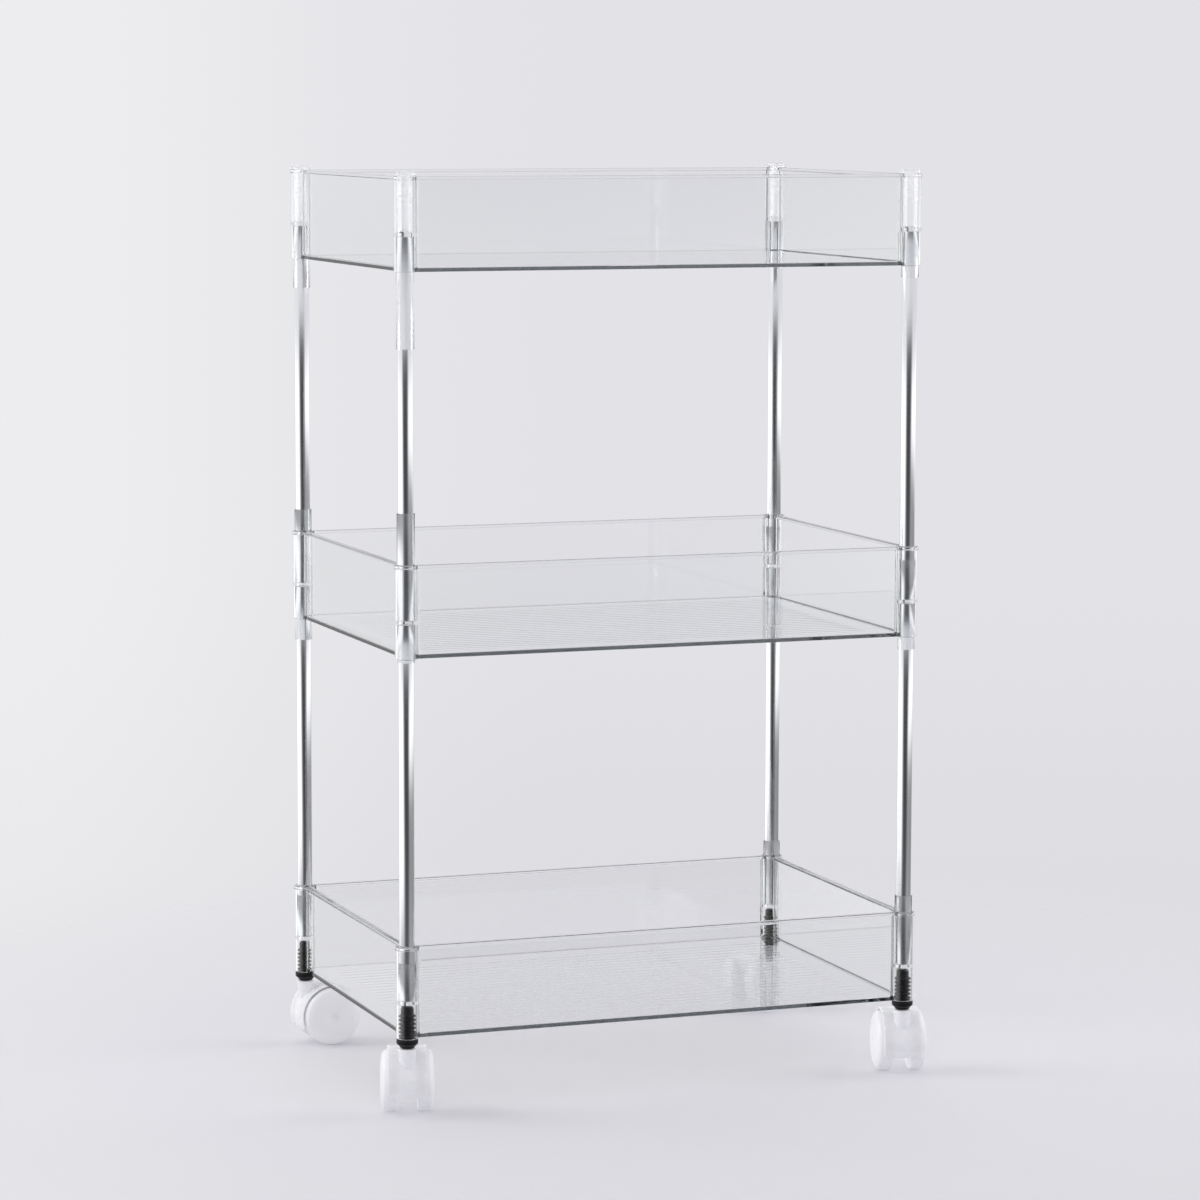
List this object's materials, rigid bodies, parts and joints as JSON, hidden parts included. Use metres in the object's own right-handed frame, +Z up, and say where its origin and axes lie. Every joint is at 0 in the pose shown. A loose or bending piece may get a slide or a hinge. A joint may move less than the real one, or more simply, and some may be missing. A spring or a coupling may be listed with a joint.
{
  "type": "three-tier rolling tray cart",
  "caption": "Clear plastic trays stacked on slim polished metal tubes, with ribbed caps and plugs in corner sockets and twin-wheel swivel casters.",
  "frame": {"origin": "on the ground under the middle of the cart's overall box, casters included", "axes": "+Z up, +X to the right along the trays' long side, -Y the front"},
  "size_m": [0.4577, 0.3018, 0.7121],
  "materials": {
    "clear_plastic": "clear, polished",
    "clear_sleeve": "clear, slightly cloudy",
    "polished_tube": "polished",
    "black_plug": "satin",
    "steel_pin": "bright",
    "caster_hood": "frosted translucent",
    "caster_wheel": "frosted translucent"
  },
  "bodies": {
    "frame": {"tray_bottom": "clear_plastic", "tray_middle": "clear_plastic", "tray_top": "clear_plastic", "tube_lower_front_left": "polished_tube", "tube_lower_front_right": "polished_tube", "tube_lower_back_left": "polished_tube", "tube_lower_back_right": "polished_tube", "tube_upper_front_left": "polished_tube", "tube_upper_front_right": "polished_tube", "tube_upper_back_left": "polished_tube", "tube_upper_back_right": "polished_tube", "sleeve_lower_bottom_front_left": "clear_sleeve", "sleeve_lower_bottom_front_right": "clear_sleeve", "sleeve_lower_bottom_back_left": "clear_sleeve", "sleeve_lower_bottom_back_right": "clear_sleeve", "sleeve_lower_top_front_left": "clear_sleeve", "sleeve_lower_top_front_right": "clear_sleeve", "sleeve_lower_top_back_left": "clear_sleeve", "sleeve_lower_top_back_right": "clear_sleeve", "sleeve_upper_bottom_front_left": "clear_sleeve", "sleeve_upper_bottom_front_right": "clear_sleeve", "sleeve_upper_bottom_back_left": "clear_sleeve", "sleeve_upper_bottom_back_right": "clear_sleeve", "sleeve_upper_top_front_left": "clear_sleeve", "sleeve_upper_top_front_right": "clear_sleeve", "sleeve_upper_top_back_left": "clear_sleeve", "sleeve_upper_top_back_right": "clear_sleeve", "cap_front_left": "clear_plastic", "cap_front_right": "clear_plastic", "cap_back_left": "clear_plastic", "cap_back_right": "clear_plastic", "plug_front_left": "black_plug", "plug_front_right": "black_plug", "plug_back_left": "black_plug", "plug_back_right": "black_plug"},
    "swivel_front_left": {"caster_stem_front_left": "steel_pin", "caster_hood_front_left": "caster_hood", "caster_axle_front_left": "steel_pin"},
    "swivel_front_right": {"caster_stem_front_right": "steel_pin", "caster_hood_front_right": "caster_hood", "caster_axle_front_right": "steel_pin"},
    "swivel_back_left": {"caster_stem_back_left": "steel_pin", "caster_hood_back_left": "caster_hood", "caster_axle_back_left": "steel_pin"},
    "swivel_back_right": {"caster_stem_back_right": "steel_pin", "caster_hood_back_right": "caster_hood", "caster_axle_back_right": "steel_pin"},
    "wheel_front_left_right": {"wheel_front_left_right": "caster_wheel"},
    "wheel_front_left_left": {"wheel_front_left_left": "caster_wheel"},
    "wheel_front_right_right": {"wheel_front_right_right": "caster_wheel"},
    "wheel_front_right_left": {"wheel_front_right_left": "caster_wheel"},
    "wheel_back_left_right": {"wheel_back_left_right": "caster_wheel"},
    "wheel_back_left_left": {"wheel_back_left_left": "caster_wheel"},
    "wheel_back_right_right": {"wheel_back_right_right": "caster_wheel"},
    "wheel_back_right_left": {"wheel_back_right_left": "caster_wheel"}
  },
  "joints": [
    {"name": "swivel_front_left", "type": "hinge", "parent": "frame", "child": "swivel_front_left", "pos_m": [-0.2097, -0.1385, 0.05], "axis": [0, 0, 1], "continuous": true},
    {"name": "swivel_front_right", "type": "hinge", "parent": "frame", "child": "swivel_front_right", "pos_m": [0.2003, -0.1385, 0.05], "axis": [0, 0, 1], "continuous": true},
    {"name": "swivel_back_left", "type": "hinge", "parent": "frame", "child": "swivel_back_left", "pos_m": [-0.2097, 0.1295, 0.05], "axis": [0, 0, 1], "continuous": true},
    {"name": "swivel_back_right", "type": "hinge", "parent": "frame", "child": "swivel_back_right", "pos_m": [0.2003, 0.1295, 0.05], "axis": [0, 0, 1], "continuous": true},
    {"name": "wheel_front_left_right_spin", "type": "hinge", "parent": "swivel_front_left", "child": "wheel_front_left_right", "pos_m": [-0.20444, -0.12129, 0.0235], "axis": [0.9563, -0.2924, 0], "continuous": true},
    {"name": "wheel_front_left_left_spin", "type": "hinge", "parent": "swivel_front_left", "child": "wheel_front_left_left", "pos_m": [-0.20444, -0.12129, 0.0235], "axis": [0.9563, -0.2924, 0], "continuous": true},
    {"name": "wheel_front_right_right_spin", "type": "hinge", "parent": "swivel_front_right", "child": "wheel_front_right_right", "pos_m": [0.20496, -0.12111, 0.0235], "axis": [0.9659, -0.2588, 0], "continuous": true},
    {"name": "wheel_front_right_left_spin", "type": "hinge", "parent": "swivel_front_right", "child": "wheel_front_right_left", "pos_m": [0.20496, -0.12111, 0.0235], "axis": [0.9659, -0.2588, 0], "continuous": true},
    {"name": "wheel_back_left_right_spin", "type": "hinge", "parent": "swivel_back_left", "child": "wheel_back_left_right", "pos_m": [-0.19171, 0.13013, 0.0235], "axis": [0.0349, -0.9994, 0], "continuous": true},
    {"name": "wheel_back_left_left_spin", "type": "hinge", "parent": "swivel_back_left", "child": "wheel_back_left_left", "pos_m": [-0.19171, 0.13013, 0.0235], "axis": [0.0349, -0.9994, 0], "continuous": true},
    {"name": "wheel_back_right_right_spin", "type": "hinge", "parent": "swivel_back_right", "child": "wheel_back_right_right", "pos_m": [0.18399, 0.12189, 0.0235], "axis": [-0.4226, 0.9063, 0], "continuous": true},
    {"name": "wheel_back_right_left_spin", "type": "hinge", "parent": "swivel_back_right", "child": "wheel_back_right_left", "pos_m": [0.18399, 0.12189, 0.0235], "axis": [-0.4226, 0.9063, 0], "continuous": true}
  ]
}
